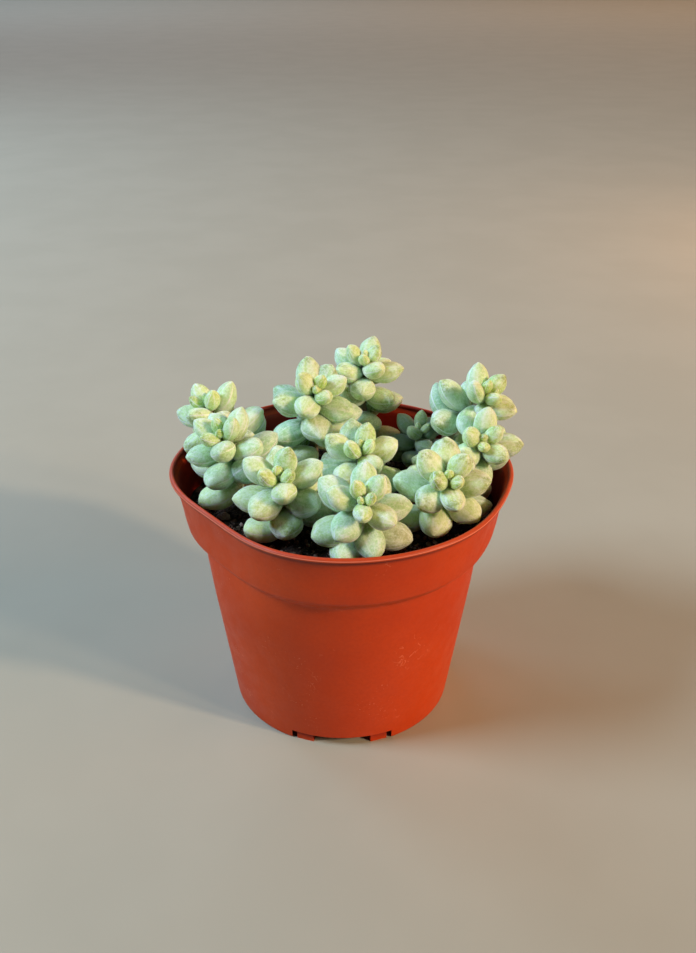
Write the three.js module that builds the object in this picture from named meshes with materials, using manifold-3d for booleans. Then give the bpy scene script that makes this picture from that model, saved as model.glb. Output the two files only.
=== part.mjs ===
// Potted burro's tail: a thin-walled plastic pot, the soil in it and eleven leafy shoots.
// Millimetres, +Z up. The origin is on the ground under the middle of the pot, and -Y is the front.
import * as THREE from "three";
import { mergeVertices } from "three/addons/utils/BufferGeometryUtils.js";
import Module from "manifold-3d";

const wasm = await Module();
wasm.setup();

// Pot
const POT_HEIGHT = 68.2;
const WALL = 0.9;
const BASE_RADIUS = 30.5;
const BODY_SLOPE = 0.139;
const BODY_TOP = 49.5;
const FLOOR_UNDERSIDE = 3;
const BEAD_RADIUS = 0.7;
const BEAD_CENTRE = 44.35;
const BEAD_FROM = -50;
const BEAD_TO = 215;
const BEAD_STEPS = 5;
const AROUND = 44;
// Radius and height of the outer wall, from the ledge under the band to the lip.
const BAND_OUTLINE = [
  [39.1, 51],
  [41.1, 53],
  [41.8, 56.2],
  [42.4, 60.2],
  [43.5, 65.2],
];

// Dents and bulges of the soft rim: direction in degrees, depth outwards, and spread in degrees.
const RIM_DENTS = [
  [-141, -4.1, 18],
  [-21, -1.2, 14],
  [8, 0.6, 18],
  [108, 1.2, 26],
  [178, 0.8, 18],
];
const DENT_STARTS = 33;
const DENT_FULL = 64;

// Foot
const NOTCH_DIRECTIONS = [-90, 30, 150];
const NOTCH_WIDTH = 26.8;
const NOTCH_HEIGHT = 2.8;
const NOTCH_DEPTH = 9;
const LUG_RADIUS = 29.5;
const LUG_OFFSET = 19.2;
const LUG_SIZE = [1.2, 4.6, 3.3];
const DRAIN_RING = 18;
const DRAIN_RADIUS = 3.2;
const DRAINS = 6;
const DRAIN_BORE = 3.6;

// Soil
const GAP = 0.35;
const SOIL_TOP = 57;
const SOIL_BELOW_BAND = 2;
const SOIL_MOUND = 0.8;
const SOIL_LUMP = 0.18;
const LUMP_WAVES = [3, 5];
const LUMP_PITCHES = [5, 4];
const SOIL_RINGS = 3;
const HOLE_DEPTH = 8;
const HOLE_SIDES = 8;

// Stem and leaf
const STEM_RADIUS = 1.5;
const STEM_SIDES = 5;
const STEM_STEPS = 7;
const STEM_REACH = 0.42;
const ARC_SAMPLES = 60;
const GOLDEN_ANGLE = 137.508;
const LEAF_LENGTH = 12.3;
const LEAF_WIDTH = 8.4;
const LEAF_THICKNESS = 0.84;
const LEAF_CURL = 0.1;
const LEAF_SIDES = 5;
const LEAF_RINGS = 4;
const SIMPLE_RINGS = 3;
const CROWN = [2, 14];
const UPPER_SHARE = 0.44;
const FACET_SWELL = 1.07;
const LOWEST_LEAF = 2.5;

// The rule of the leaves, which are counted down from the tip: how they grow up, lean away from
// the stem, follow each other down it, taper, and differ from the rule.
const GROWTH_POWER = 1.15;
const TILT_FIRST = 15;
const TILT_GAIN = 72;
const TILT_PACE = 6.2;
const TILT_POWER = 1.4;
const TILT_SAG = 0.5;
const DROP_START = 0.8;
const DROP_STEP = 0.3;
const DROP_STRETCH = 0.045;
const OUTLINE_SKEW = 1.25;
const OUTLINE_BLUNT = 0.48;
const OUTLINE_POINT = 0.22;
const TURN_SPREAD = 10;
const TILT_SPREAD = 8;
const SIZE_SPREAD = 0.1;

// Keeping leaves of different shoots apart
const CLEAR = 0.4;
const TURNS = [
  [0, 0], [-10, 0], [10, 0], [0, 12], [0, -12], [-20, 0], [-10, 14], [-10, -14],
  [20, 0], [10, 14], [10, -14], [-30, 0], [0, 26], [0, -26], [-42, 0], [-55, 0],
];
const SHRINKS = [1, 0.88, 0.76, 0.64];
const TIP_BALL = 0.2;
const BALL_PLACES = [0.3, 0.48, 0.66, 0.84];

// Each shoot: where it leaves the soil, its tip, how far the tip leans in X and Y for one up, the
// direction of its first leaf in degrees, the way its spiral turns, over how many leaves they grow
// up, and the size of its leaves.
const SHOOTS = [
  shootAt("shoot_a", [-13, -15], [-15, -21.4, 76.8], [0.05, -0.75], 257, -1, 4.4, 1),
  shootAt("shoot_b", [4, -24], [5, -34.6, 78], [0.05, -1.05], 72, 1, 5.8, 1),
  shootAt("shoot_c", [24, -12], [26, -20.9, 75.8], [0.08, -1.15], 244, -1, 4.6, 1),
  shootAt("shoot_d", [31, 6], [36.4, -4, 77.8], [0.1, -1.35], 339, 1, 5.4, 1),
  shootAt("shoot_e", [27, 18], [38.9, 9.4, 85.2], [0.5, -0.54], 226, 1, 5.4, 1),
  shootAt("shoot_f", [4, 5], [5, -1.5, 74.2], [0.05, -0.4], 263, -1, 4.6, 1),
  shootAt("shoot_g", [-8, 20], [-6.4, 12.4, 84.9], [0.4, -1], 353, -1, 5, 1.04),
  shootAt("shoot_h", [6, 31], [6.6, 27.6, 87.6], [0.1, -0.55], 333, 1, 4.6, 0.9),
  shootAt("shoot_i", [-25, -2], [-31, -6.4, 81], [-0.37, -0.46], 174, 1, 5.4, 1),
  shootAt("shoot_j", [-29, 17], [-36.9, 15.4, 79.8], [-0.3, -0.15], 283, 1, 5.2, 1.08),
  shootAt("shoot_k", [21, 21], [22, 19, 70], [0.05, -0.35], 40, 1, 3.6, 0.68),
];

function shootAt(name, root, tip, lean, first, turn, pace, size) {
  return { name, root, tip, lean, first, turn, pace, size };
}

const radians = THREE.MathUtils.degToRad;

// Solids

function solidFrom(geometry) {
  const bare = geometry.index ? geometry.toNonIndexed() : geometry.clone();
  bare.deleteAttribute("normal");
  bare.deleteAttribute("uv");
  const merged = mergeVertices(bare, 1e-4);
  return new wasm.Manifold(new wasm.Mesh({
    numProp: 3,
    vertProperties: new Float32Array(merged.attributes.position.array),
    triVerts: new Uint32Array(merged.index.array),
  }));
}

function meshFrom(solid, name, colour, roughness) {
  const made = solid.getMesh();
  const geometry = new THREE.BufferGeometry();
  geometry.setAttribute("position", new THREE.BufferAttribute(made.vertProperties, made.numProp));
  geometry.setIndex(new THREE.BufferAttribute(made.triVerts, 1));
  geometry.computeVertexNormals();
  const material = new THREE.MeshStandardMaterial({ color: colour, roughness, metalness: 0 });
  const mesh = new THREE.Mesh(geometry, material);
  mesh.name = name;
  return mesh;
}

function movedVertices(geometry, move) {
  const position = geometry.attributes.position;
  const point = new THREE.Vector3();
  for (let i = 0; i < position.count; i++) {
    point.fromBufferAttribute(position, i);
    move(point);
    position.setXYZ(i, point.x, point.y, point.z);
  }
  return geometry;
}

// Pot wall

const bodyRadius = (z) => BASE_RADIUS + BODY_SLOPE * z;
const BODY_LEVELS = [0, DENT_STARTS, BODY_TOP];
const OUTER_WALL = [...BODY_LEVELS.map((z) => [bodyRadius(z), z]), ...BAND_OUTLINE];
const LEDGE_RISE = 0.5;
const INNER_WALL = OUTER_WALL.slice(1).map(([radius, z]) => [
  radius - WALL,
  z > BODY_TOP && z < SOIL_TOP - SOIL_BELOW_BAND ? z + LEDGE_RISE : z,
]);
const FLOOR_TOP = FLOOR_UNDERSIDE + WALL;

function innerRadius(z) {
  const bottom = [bodyRadius(FLOOR_TOP) - WALL, FLOOR_TOP];
  const wall = [bottom, ...INNER_WALL, [BEAD_CENTRE - BEAD_RADIUS, POT_HEIGHT]];
  for (let i = 1; i < wall.length; i++) {
    const [r0, z0] = wall[i - 1];
    const [r1, z1] = wall[i];
    if (z <= z1) return r0 + ((r1 - r0) * (z - z0)) / (z1 - z0);
  }
  return BEAD_CENTRE - BEAD_RADIUS;
}

function rimShift(angle, z) {
  const height = THREE.MathUtils.smoothstep(z, DENT_STARTS, DENT_FULL);
  let shift = 0;
  for (const [direction, depth, spread] of RIM_DENTS) {
    const away = ((((angle - direction) % 360) + 540) % 360) - 180;
    shift += depth * Math.exp(-0.5 * (away / spread) ** 2);
  }
  return shift * height;
}

function dented(point) {
  const radius = Math.hypot(point.x, point.y);
  if (radius < 1e-6) return;
  const angle = THREE.MathUtils.radToDeg(Math.atan2(point.y, point.x));
  const grown = (radius + rimShift(angle, point.z)) / radius;
  point.x *= grown;
  point.y *= grown;
}

function turned(outline) {
  const points = outline.map(([radius, z]) => new THREE.Vector2(radius, z));
  return new THREE.LatheGeometry(points, AROUND).rotateX(Math.PI / 2);
}

function lipBead() {
  return Array.from({ length: BEAD_STEPS + 1 }, (_, i) => {
    const angle = radians(BEAD_FROM + ((BEAD_TO - BEAD_FROM) * i) / BEAD_STEPS);
    return [
      BEAD_CENTRE + BEAD_RADIUS * Math.cos(angle),
      POT_HEIGHT - BEAD_RADIUS + BEAD_RADIUS * Math.sin(angle),
    ];
  });
}

function footNotch(direction) {
  const box = new THREE.BoxGeometry(NOTCH_DEPTH, NOTCH_WIDTH, NOTCH_HEIGHT * 2);
  return solidFrom(box.translate(BASE_RADIUS, 0, 0).rotateZ(radians(direction)));
}

function footLug(direction) {
  const box = new THREE.BoxGeometry(...LUG_SIZE);
  return solidFrom(box.translate(LUG_RADIUS, 0, LUG_SIZE[2] / 2).rotateZ(radians(direction)));
}

function drainHole(x, y) {
  const bore = new THREE.CylinderGeometry(DRAIN_RADIUS, DRAIN_RADIUS, DRAIN_BORE, HOLE_SIDES);
  return solidFrom(bore.rotateX(Math.PI / 2).translate(x, y, FLOOR_UNDERSIDE + WALL / 2));
}

function makePot() {
  const outline = [
    [0, FLOOR_UNDERSIDE],
    [bodyRadius(FLOOR_UNDERSIDE) - WALL, FLOOR_UNDERSIDE],
    [BASE_RADIUS - WALL, 0],
    ...OUTER_WALL,
    ...lipBead(),
    ...INNER_WALL.toReversed(),
    [bodyRadius(FLOOR_TOP) - WALL, FLOOR_TOP],
    [0, FLOOR_TOP],
  ];
  let pot = solidFrom(movedVertices(turned(outline), dented));
  for (const direction of NOTCH_DIRECTIONS) pot = pot.subtract(footNotch(direction));
  for (const direction of NOTCH_DIRECTIONS) {
    for (const side of [-LUG_OFFSET, LUG_OFFSET]) pot = pot.add(footLug(direction + side));
  }
  pot = pot.subtract(drainHole(0, 0));
  for (let i = 0; i < DRAINS; i++) {
    const angle = (2 * Math.PI * i) / DRAINS;
    pot = pot.subtract(drainHole(DRAIN_RING * Math.cos(angle), DRAIN_RING * Math.sin(angle)));
  }
  return meshFrom(pot, "pot", 0xb9432a, 0.55);
}

// Soil

function soilHeight(radius, angle) {
  const mound = SOIL_MOUND * (1 - (radius / innerRadius(SOIL_TOP)) ** 2);
  const around = Math.sin(LUMP_WAVES[0] * angle + radius / LUMP_PITCHES[0]);
  const across = Math.cos(LUMP_WAVES[1] * angle - radius / LUMP_PITCHES[1]);
  return SOIL_TOP + mound + SOIL_LUMP * (around + across);
}

function makeSoil(shoots) {
  const levels = INNER_WALL.map(([, z]) => z).filter((z) => z < SOIL_TOP);
  const side = levels.map((z) => [innerRadius(z) - GAP, z + GAP / 2]);
  const edge = innerRadius(SOIL_TOP) - GAP;
  const top = Array.from({ length: SOIL_RINGS + 1 }, (_, i) => [edge * (1 - i / SOIL_RINGS), SOIL_TOP]);
  const outline = [
    [0, FLOOR_TOP + GAP],
    [innerRadius(FLOOR_TOP) - GAP, FLOOR_TOP + GAP],
    ...side,
    ...top,
  ];
  const body = movedVertices(turned(outline), (point) => {
    if (point.z > SOIL_TOP - 1e-6) {
      point.z = soilHeight(Math.hypot(point.x, point.y), Math.atan2(point.y, point.x));
    }
    dented(point);
  });
  let soil = solidFrom(body);
  for (const shoot of shoots) {
    const radius = STEM_RADIUS + GAP;
    const bore = new THREE.CylinderGeometry(radius, radius, HOLE_DEPTH * 2, HOLE_SIDES);
    bore.rotateX(Math.PI / 2).translate(...shoot.root, SOIL_TOP);
    soil = soil.subtract(solidFrom(bore));
  }
  return meshFrom(soil, "soil", 0x2a1f18, 0.95);
}

// Stem

function stemOf(shoot) {
  const root = new THREE.Vector3(shoot.root[0], shoot.root[1], SOIL_TOP);
  const tip = new THREE.Vector3(...shoot.tip);
  const axis = new THREE.Vector3(shoot.lean[0], shoot.lean[1], 1).normalize();
  const reach = STEM_REACH * tip.distanceTo(root);
  const curve = new THREE.CubicBezierCurve3(
    root,
    root.clone().setZ(root.z + reach),
    tip.clone().addScaledVector(axis, -reach),
    tip,
  );
  const samples = curve.getPoints(ARC_SAMPLES).toReversed();
  return { curve, samples };
}

// The point and the upward direction of the stem at a distance along it from the tip.
function alongStem(samples, distance) {
  let left = distance;
  for (let i = 1; i < samples.length; i++) {
    const step = samples[i].distanceTo(samples[i - 1]);
    if (left <= step) {
      const point = samples[i - 1].clone().lerp(samples[i], left / step);
      return { point, axis: samples[i - 1].clone().sub(samples[i]).normalize() };
    }
    left -= step;
  }
  return null;
}

function stemSolid(curve) {
  const bottom = new THREE.Vector3(curve.v0.x, curve.v0.y, SOIL_TOP - HOLE_DEPTH + GAP);
  const path = new THREE.CatmullRomCurve3([bottom, ...curve.getPoints(STEM_STEPS)]);
  const section = new THREE.Shape();
  for (let i = 0; i < STEM_SIDES; i++) {
    const angle = (2 * Math.PI * i) / STEM_SIDES;
    const place = [STEM_RADIUS * Math.cos(angle), STEM_RADIUS * Math.sin(angle)];
    if (i === 0) section.moveTo(...place);
    else section.lineTo(...place);
  }
  section.closePath();
  const settings = { steps: STEM_STEPS + 1, extrudePath: path, curveSegments: 1 };
  return solidFrom(new THREE.ExtrudeGeometry(section, settings));
}

// Leaf

function seeded(seed) {
  let state = seed;
  return () => {
    state = (state + 0x6d2b79f5) | 0;
    let mixed = Math.imul(state ^ (state >>> 15), 1 | state);
    mixed = (mixed + Math.imul(mixed ^ (mixed >>> 7), 61 | mixed)) ^ mixed;
    return ((mixed ^ (mixed >>> 14)) >>> 0) / 4294967296;
  };
}

function leafGrowth(i, pace) {
  return 1 - Math.exp(-(((i + 1) / pace) ** GROWTH_POWER));
}

function leafTilt(i) {
  const opened = 1 - Math.exp(-(((i + 0.5) / TILT_PACE) ** TILT_POWER));
  return TILT_FIRST + TILT_GAIN * opened + TILT_SAG * i;
}

function leafDrop(i, size) {
  return size * (DROP_START + DROP_STEP * i + DROP_STRETCH * i * i);
}

function leafOutline(u) {
  return Math.sin(Math.PI * u ** OUTLINE_SKEW) ** (OUTLINE_BLUNT + OUTLINE_POINT * u * u);
}

// A leaf's place: base point, length direction, upper side, edge direction and sizes.
function leafPlace(stem, shoot, i, draws, tiltBy, turnBy, shrink) {
  const { point, axis } = stem;
  const across = new THREE.Vector3(1, 0, 0).addScaledVector(axis, -axis.x).normalize();
  const back = axis.clone().cross(across);
  const spiral = shoot.first + shoot.turn * GOLDEN_ANGLE * i;
  const around = radians(spiral + turnBy + TURN_SPREAD * (draws[0] - 0.5));
  const outward = across.multiplyScalar(Math.cos(around)).addScaledVector(back, Math.sin(around));
  const tilt = radians(leafTilt(i) + tiltBy + TILT_SPREAD * (draws[1] - 0.5));
  const along = axis.clone().multiplyScalar(Math.cos(tilt)).addScaledVector(outward, Math.sin(tilt));
  const upper = axis.clone().multiplyScalar(Math.sin(tilt)).addScaledVector(outward, -Math.cos(tilt));
  const edge = upper.clone().cross(along);
  const growth = leafGrowth(i, shoot.pace);
  const longer = 1 + SIZE_SPREAD * (draws[2] - 0.5);
  const wider = 1 + SIZE_SPREAD * (draws[3] - 0.5);
  const length = growth * (LEAF_LENGTH * shoot.size * longer * shrink + STEM_RADIUS);
  const width = growth * LEAF_WIDTH * shoot.size * wider * Math.sqrt(shrink);
  return { base: point, along, upper, edge, length, width, thickness: LEAF_THICKNESS * width };
}

function leafSpine(leaf, u) {
  return leaf.base.clone()
    .addScaledVector(leaf.along, leaf.length * u)
    .addScaledVector(leaf.upper, leaf.length * LEAF_CURL * u * u);
}

function leafSolid(leaf, rings) {
  const ball = new THREE.SphereGeometry(1, LEAF_SIDES, rings).rotateY(Math.PI / 2);
  return solidFrom(movedVertices(ball, (point) => {
    const u = (1 - point.y) / 2;
    const round = Math.hypot(point.x, point.z);
    const swell = round > 1e-6 ? (FACET_SWELL * leafOutline(u)) / round : 0;
    const aside = point.x * swell * leaf.width * 0.5;
    const share = point.z > 0 ? UPPER_SHARE : 1 - UPPER_SHARE;
    const above = point.z * swell * leaf.thickness * share;
    point.copy(leafSpine(leaf, u)).addScaledVector(leaf.edge, aside).addScaledVector(leaf.upper, above);
  }));
}

// Balls that fill a leaf, for finding out whether it comes too close to something.
function leafBalls(leaf) {
  const balls = [{ centre: leafSpine(leaf, 1), radius: TIP_BALL }];
  for (const u of BALL_PLACES) {
    const radius = 0.5 * leaf.thickness * leafOutline(u);
    const aside = 0.5 * leaf.width * leafOutline(u) - radius;
    for (const side of [-aside, aside]) {
      balls.push({ centre: leafSpine(leaf, u).addScaledVector(leaf.edge, side), radius });
    }
  }
  return balls;
}

function clearOfPot({ centre, radius }) {
  if (centre.z - radius < SOIL_TOP + SOIL_MOUND + CLEAR) return false;
  const out = Math.hypot(centre.x, centre.y);
  const angle = THREE.MathUtils.radToDeg(Math.atan2(centre.y, centre.x));
  const bead = POT_HEIGHT - BEAD_RADIUS;
  if (centre.z < bead) return out + radius + CLEAR < innerRadius(centre.z) + rimShift(angle, centre.z);
  const toBead = Math.hypot(out - BEAD_CENTRE - rimShift(angle, bead), centre.z - bead);
  return toBead > radius + BEAD_RADIUS + CLEAR;
}

const apart = (a, b) => a.centre.distanceTo(b.centre) > a.radius + b.radius + CLEAR;

// Leaves go on from the tips down, one from each shoot in turn. A leaf that would cross another
// shoot, the pot or the soil is bent aside, then made smaller, and left out if nothing is clear.
function placeLeaves(shoots) {
  const grown = shoots.map((shoot, n) => {
    const stem = stemOf(shoot);
    const balls = stem.samples.map((centre) => ({ centre, radius: STEM_RADIUS }));
    return { shoot, stem, balls, leaves: [], draw: seeded(n + 1), done: false };
  });
  for (let i = 0; grown.some((one) => !one.done); i++) {
    for (const one of grown) {
      const seat = one.done ? null : alongStem(one.stem.samples, leafDrop(i, one.shoot.size));
      if (!seat || seat.point.z < SOIL_TOP + LOWEST_LEAF) {
        one.done = true;
        continue;
      }
      const draws = [one.draw(), one.draw(), one.draw(), one.draw()];
      const others = grown.filter((other) => other !== one).flatMap((other) => other.balls);
      const leaf = clearLeaf(seat, one.shoot, i, draws, others);
      if (leaf) {
        one.leaves.push({ ...leaf, rings: i >= CROWN[0] && i < CROWN[1] ? LEAF_RINGS : SIMPLE_RINGS });
        one.balls.push(...leafBalls(leaf));
      }
    }
  }
  return grown;
}

function clearLeaf(seat, shoot, i, draws, others) {
  for (const shrink of SHRINKS) {
    for (const [tiltBy, turnBy] of TURNS) {
      const leaf = leafPlace(seat, shoot, i, draws, tiltBy, turnBy, shrink);
      const balls = leafBalls(leaf);
      const clear = (ball) => clearOfPot(ball) && others.every((other) => apart(ball, other));
      if (balls.every(clear)) return leaf;
    }
  }
  return null;
}

function makeShoot({ shoot, stem, leaves }) {
  let solid = stemSolid(stem.curve);
  for (const leaf of leaves) solid = solid.add(leafSolid(leaf, leaf.rings));
  return meshFrom(solid, shoot.name, 0xa9c7a0, 0.6);
}

const plant = new THREE.Group();
plant.add(makePot());
plant.add(makeSoil(SHOOTS));
for (const grown of placeLeaves(SHOOTS)) plant.add(makeShoot(grown));

export default plant;
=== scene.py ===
import math

import bmesh
import bpy
import numpy as np
from mathutils import Matrix, Vector, noise


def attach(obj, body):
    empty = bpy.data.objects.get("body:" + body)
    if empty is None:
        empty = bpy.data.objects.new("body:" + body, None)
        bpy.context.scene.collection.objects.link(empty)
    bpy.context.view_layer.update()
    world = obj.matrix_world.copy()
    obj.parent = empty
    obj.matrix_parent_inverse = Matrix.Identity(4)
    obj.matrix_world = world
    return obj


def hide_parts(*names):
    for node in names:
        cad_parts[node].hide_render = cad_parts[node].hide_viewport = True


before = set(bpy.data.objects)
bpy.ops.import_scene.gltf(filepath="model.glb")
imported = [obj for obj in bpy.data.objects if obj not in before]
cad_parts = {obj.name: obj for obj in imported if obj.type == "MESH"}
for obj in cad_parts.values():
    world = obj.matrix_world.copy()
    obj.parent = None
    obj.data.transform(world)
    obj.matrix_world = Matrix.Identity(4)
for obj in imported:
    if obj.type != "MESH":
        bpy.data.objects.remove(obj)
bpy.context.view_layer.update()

# Sizes are millimetres, unless a name or comment says otherwise, and become metres in mesh_object.
MM = 0.001

# Pot. Each point of an outline is a radius and a height.
POT_HEIGHT = 68.2
WALL = 0.9
BASE_RADIUS = 30.5
BODY_SLOPE = 0.139
BODY_TOP = 49.5
FLOOR_UNDERSIDE = 3.0
FLOOR_TOP = FLOOR_UNDERSIDE + WALL
BEAD_RADIUS = 0.7
BEAD_CENTRE = 44.35
BAND_OUTLINE = [(39.1, 51.0), (41.1, 53.0), (41.8, 56.2), (42.4, 60.2), (43.5, 65.2)]
LEDGE_TOP = 55.0
LEDGE_RISE = 0.5
LIP_MIDDLE = POT_HEIGHT - BEAD_RADIUS
LIP_UNDERCUT = (43.95, 66.6)
# How far from each corner its rounding starts, and the largest share of a side that it may take
BAND_ROUNDING = [0.5, 0.6, 0.9, 1.6, 0.3]
LEDGE_ROUNDING = 0.9
FLOOR_ROUNDING = 0.5
FOOT_ROUNDING = (0.25, 0.35)
UNDERCUT_ROUNDING = 0.35
ROUNDING_SHARE = 0.45
ROUNDING_STEPS = 5
# Directions around the lip's section, in degrees from outwards over the top: the ends of its arc,
# its painted highlight, and where its inner side and its underside, both painted shade, fade in and out
LIP_FROM = -75
LIP_TO = 220
LIP_STEPS = 48
LIP_HIGHLIGHT_TURN = 16
LIP_HIGHLIGHT_SPREAD = 8
LIP_INNER = (90, 140, 230, 260)
LIP_UNDER_SHADE = (-90, -70, -25, -8)
# Heights at which the painted shade line on the wall under the lip fades in and out
WALL_UNDER_SHADE = (65.4, 66.3, 67.2, 67.6)
# Where the rim is pushed in or out: direction in degrees, how far out, and spread in degrees
RIM_DENTS = [(-141, -4.1, 18), (-21, -1.2, 14), (8, 0.6, 18), (108, 1.2, 26), (178, 0.8, 18)]
DENT_STARTS = 33
DENT_FULL = 64
# Notches in the foot, with their directions in degrees, and lugs this many degrees to both sides
NOTCH_DIRECTIONS = [-90, 30, 150]
NOTCH_DEPTH = 9
NOTCH_WIDTH = 26.8
NOTCH_HEIGHT = 2.8
LUG_OFFSET = 19.2
LUG_RADIUS = 29.5
LUG_SIZE = (1.2, 4.6, 3.3)
# Drain holes: one in the middle and a ring of others
DRAIN_RING = 18.0
DRAIN_RADIUS = 3.2
DRAIN_SIDES = 32
DRAINS = 6
CUT_PAST = 1
# How fine the pot's mesh is: points around, the longest step along its outline, the angle in degrees
# above which an edge stays sharp, and how near to each other points are merged
POT_AROUND = 320
POT_STEP = 1.5
SHARP_ANGLE = 38
WELD_METRES = 2e-7
# The low spot with most scratches, how far they are dense and how far they reach
SCUFF_PLACE = (18.5, -29.6, 31)
SCUFF_CORE = 2.4
SCUFF_REACH = 8

# Soil
GAP = 0.35
SOIL_TOP = 57.0
SOIL_MOUND = 0.8
SOIL_AROUND = 260
SOIL_RINGS = 64
HOLE_DEPTH = 8
# Unevenness: the level at which its noise is read, and layers of it with how fine and how rough each
# is, how much finer its next octave is, its octaves and its height
NOISE_LEVEL = 3.3
SOIL_LAYERS = [(0.16, 0.8, 2.1, 3, 0.55), (0.75, 0.7, 2.2, 4, 0.4)]
# Each lump: its largest turn in radians, its narrowest width and its spread of heights for a size of
# one, how fine its noise is, and how far apart two lumps may lie in the noise
LUMP_TURN = 6.28
LUMP_NARROWEST = 0.6
LUMP_HEIGHT_SPREAD = 0.3
LUMP_FINENESS = 1.7
LUMP_OFFSET = 90
# Loose lumps: how far they keep from the wall, and their seeds
CRUMB_MARGIN = 1.6
CRUMB_SEED = 71
GRIT_SEED = 72
CLUSTER_SEED = 73
# In a group, how evenly the lumps spread, the smallest of them and how far they stand out of the soil
# as shares of a lump's size, and how much their shades differ
CLUSTER_EVENNESS = 0.6
CLUSTER_SMALLEST = 0.45
CLUSTER_RISE = 0.5
CLUSTER_SHADE_SPREAD = 0.06
# Groups of crumbs that show between the leaves: X, Y, spread, count, size, and shade from dark to pale
CLUSTERS = [
    (-30.8, -7.6, 1.3, 18, 0.85, 0.96),
    (-33.0, -3.5, 2.6, 24, 0.35, 0.88),
    (-26.4, -14.2, 3.2, 44, 0.36, 0.9),
    (-17.5, -24.5, 4.0, 40, 0.3, 0.8),
    (-6.0, -22.5, 3.5, 30, 0.3, 0.76),
    (14.1, -22.8, 2.0, 18, 0.6, 0.84),
    (18.6, -24.4, 2.6, 34, 0.5, 0.86),
    (26.0, -19.0, 3.5, 30, 0.34, 0.84),
    (36.0, 4.6, 1.2, 4, 1.1, 0.98),
    (33.5, -11.0, 2.5, 18, 0.4, 0.86),
    (12.2, 23.5, 3.2, 40, 0.4, 0.9),
    (14.3, 34.0, 3.0, 20, 0.6, 0.9),
]

# Stem and leaf. The reach is a share of the way from root to tip, the thickness of the leaf's width,
# the curl of its length, and the upper share is that of its thickness above its spine.
STEM_RADIUS = 1.5
STEM_REACH = 0.42
ARC_SAMPLES = 60
GOLDEN_ANGLE = 137.508
LEAF_LENGTH = 12.3
LEAF_WIDTH = 8.4
LEAF_THICKNESS = 0.84
LEAF_CURL = 0.1
UPPER_SHARE = 0.44
LOWEST_LEAF = 2.5

# The rule of the leaves, which are counted down from the tip: how they grow up, lean away from
# the stem, follow each other down it, taper, and differ from the rule.
GROWTH_POWER = 1.15
TILT_FIRST = 15
TILT_GAIN = 72
TILT_PACE = 6.2
TILT_POWER = 1.4
TILT_SAG = 0.5
DROP_START = 0.8
DROP_STEP = 0.3
DROP_STRETCH = 0.045
OUTLINE_SKEW = 1.25
OUTLINE_BLUNT = 0.48
OUTLINE_POINT = 0.22
TURN_SPREAD = 10
TILT_SPREAD = 8
SIZE_SPREAD = 0.1

# Keeping leaves of different shoots apart: the gap, the tilts and turns in degrees and the sizes to
# try, and the balls that stand for a leaf, one at its tip and pairs at these shares of its length
CLEAR = 0.4
TURNS = [
    (0, 0), (-10, 0), (10, 0), (0, 12), (0, -12), (-20, 0), (-10, 14), (-10, -14),
    (20, 0), (10, 14), (10, -14), (-30, 0), (0, 26), (0, -26), (-42, 0), (-55, 0),
]
SHRINKS = (1, 0.88, 0.76, 0.64)
TIP_BALL = 0.2
BALL_PLACES = (0.3, 0.48, 0.66, 0.84)

# Fine leaves: rows and columns of points, the channel along the upper side, the sway to one side,
# and the unevenness around the middle, whose layers say how fine and how strong their noise is. The
# age is full at the old leaf, counted from the tip.
LEAF_ROWS = 26
LEAF_COLUMNS = 28
CHANNEL_DEPTH = 0.05
CHANNEL_WIDTH = 0.5
LEAF_SWAY = 0.06
LEAF_MIDDLE = 0.55
LEAF_UNEVENNESS = 0.045
LEAF_LAYERS = [(0.42, 1), (1.3, 0.35)]
LEAF_OFFSET = 50
LEAF_SEED = 500
OLD_LEAF = 20

# Fine stems, which fit into the CAD stem, taper towards the tip and bulge a little
STEM_SIDES = 16
STEM_FIT = 0.96
STEM_TAPER = 0.35
STEM_BULGE = 0.06
STEM_FINENESS = 0.9

# What the material is told of each point of a leaf or stem
VALUES = ("along", "across", "rim", "age", "tone", "warmth", "patch", "stem", "shade")
# The shoot that stands in the shade of the others, whose shade is painted into its colour, and how that
# painted shade grows from leaf to leaf
SHADED = {"shoot_k": 0.82}
SHADE_START = 0.45
SHADE_STEP = 0.06

# Each shoot: root in X and Y, tip, lean of the tip in X and Y for one up, direction of its first
# leaf, the way its spiral turns, over how many leaves they grow up, and the size of its leaves.
SHOOTS = {
    "shoot_a": ((-13, -15), (-15, -21.4, 76.8), (0.05, -0.75), 257, -1, 4.4, 1),
    "shoot_b": ((4, -24), (5, -34.6, 78), (0.05, -1.05), 72, 1, 5.8, 1),
    "shoot_c": ((24, -12), (26, -20.9, 75.8), (0.08, -1.15), 244, -1, 4.6, 1),
    "shoot_d": ((31, 6), (36.4, -4, 77.8), (0.1, -1.35), 339, 1, 5.4, 1),
    "shoot_e": ((27, 18), (38.9, 9.4, 85.2), (0.5, -0.54), 226, 1, 5.4, 1),
    "shoot_f": ((4, 5), (5, -1.5, 74.2), (0.05, -0.4), 263, -1, 4.6, 1),
    "shoot_g": ((-8, 20), (-6.4, 12.4, 84.9), (0.4, -1), 353, -1, 5, 1.04),
    "shoot_h": ((6, 31), (6.6, 27.6, 87.6), (0.1, -0.55), 333, 1, 4.6, 0.9),
    "shoot_i": ((-25, -2), (-31, -6.4, 81), (-0.37, -0.46), 174, 1, 5.4, 1),
    "shoot_j": ((-29, 17), (-36.9, 15.4, 79.8), (-0.3, -0.15), 283, 1, 5.2, 1.08),
    "shoot_k": ((21, 21), (22, 19, 70), (0.05, -0.35), 40, 1, 3.6, 0.68),
}

# Studio, in metres
FLOOR_SIZE = 12.0
POT_MIDDLE = (0, 0, 0.04)
LAMP_COLOUR = (1.0, 0.74, 0.54)
WORLD_COLOUR = (0.672, 0.783, 1.0, 1)
WORLD_STRENGTH = 0.019

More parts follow.
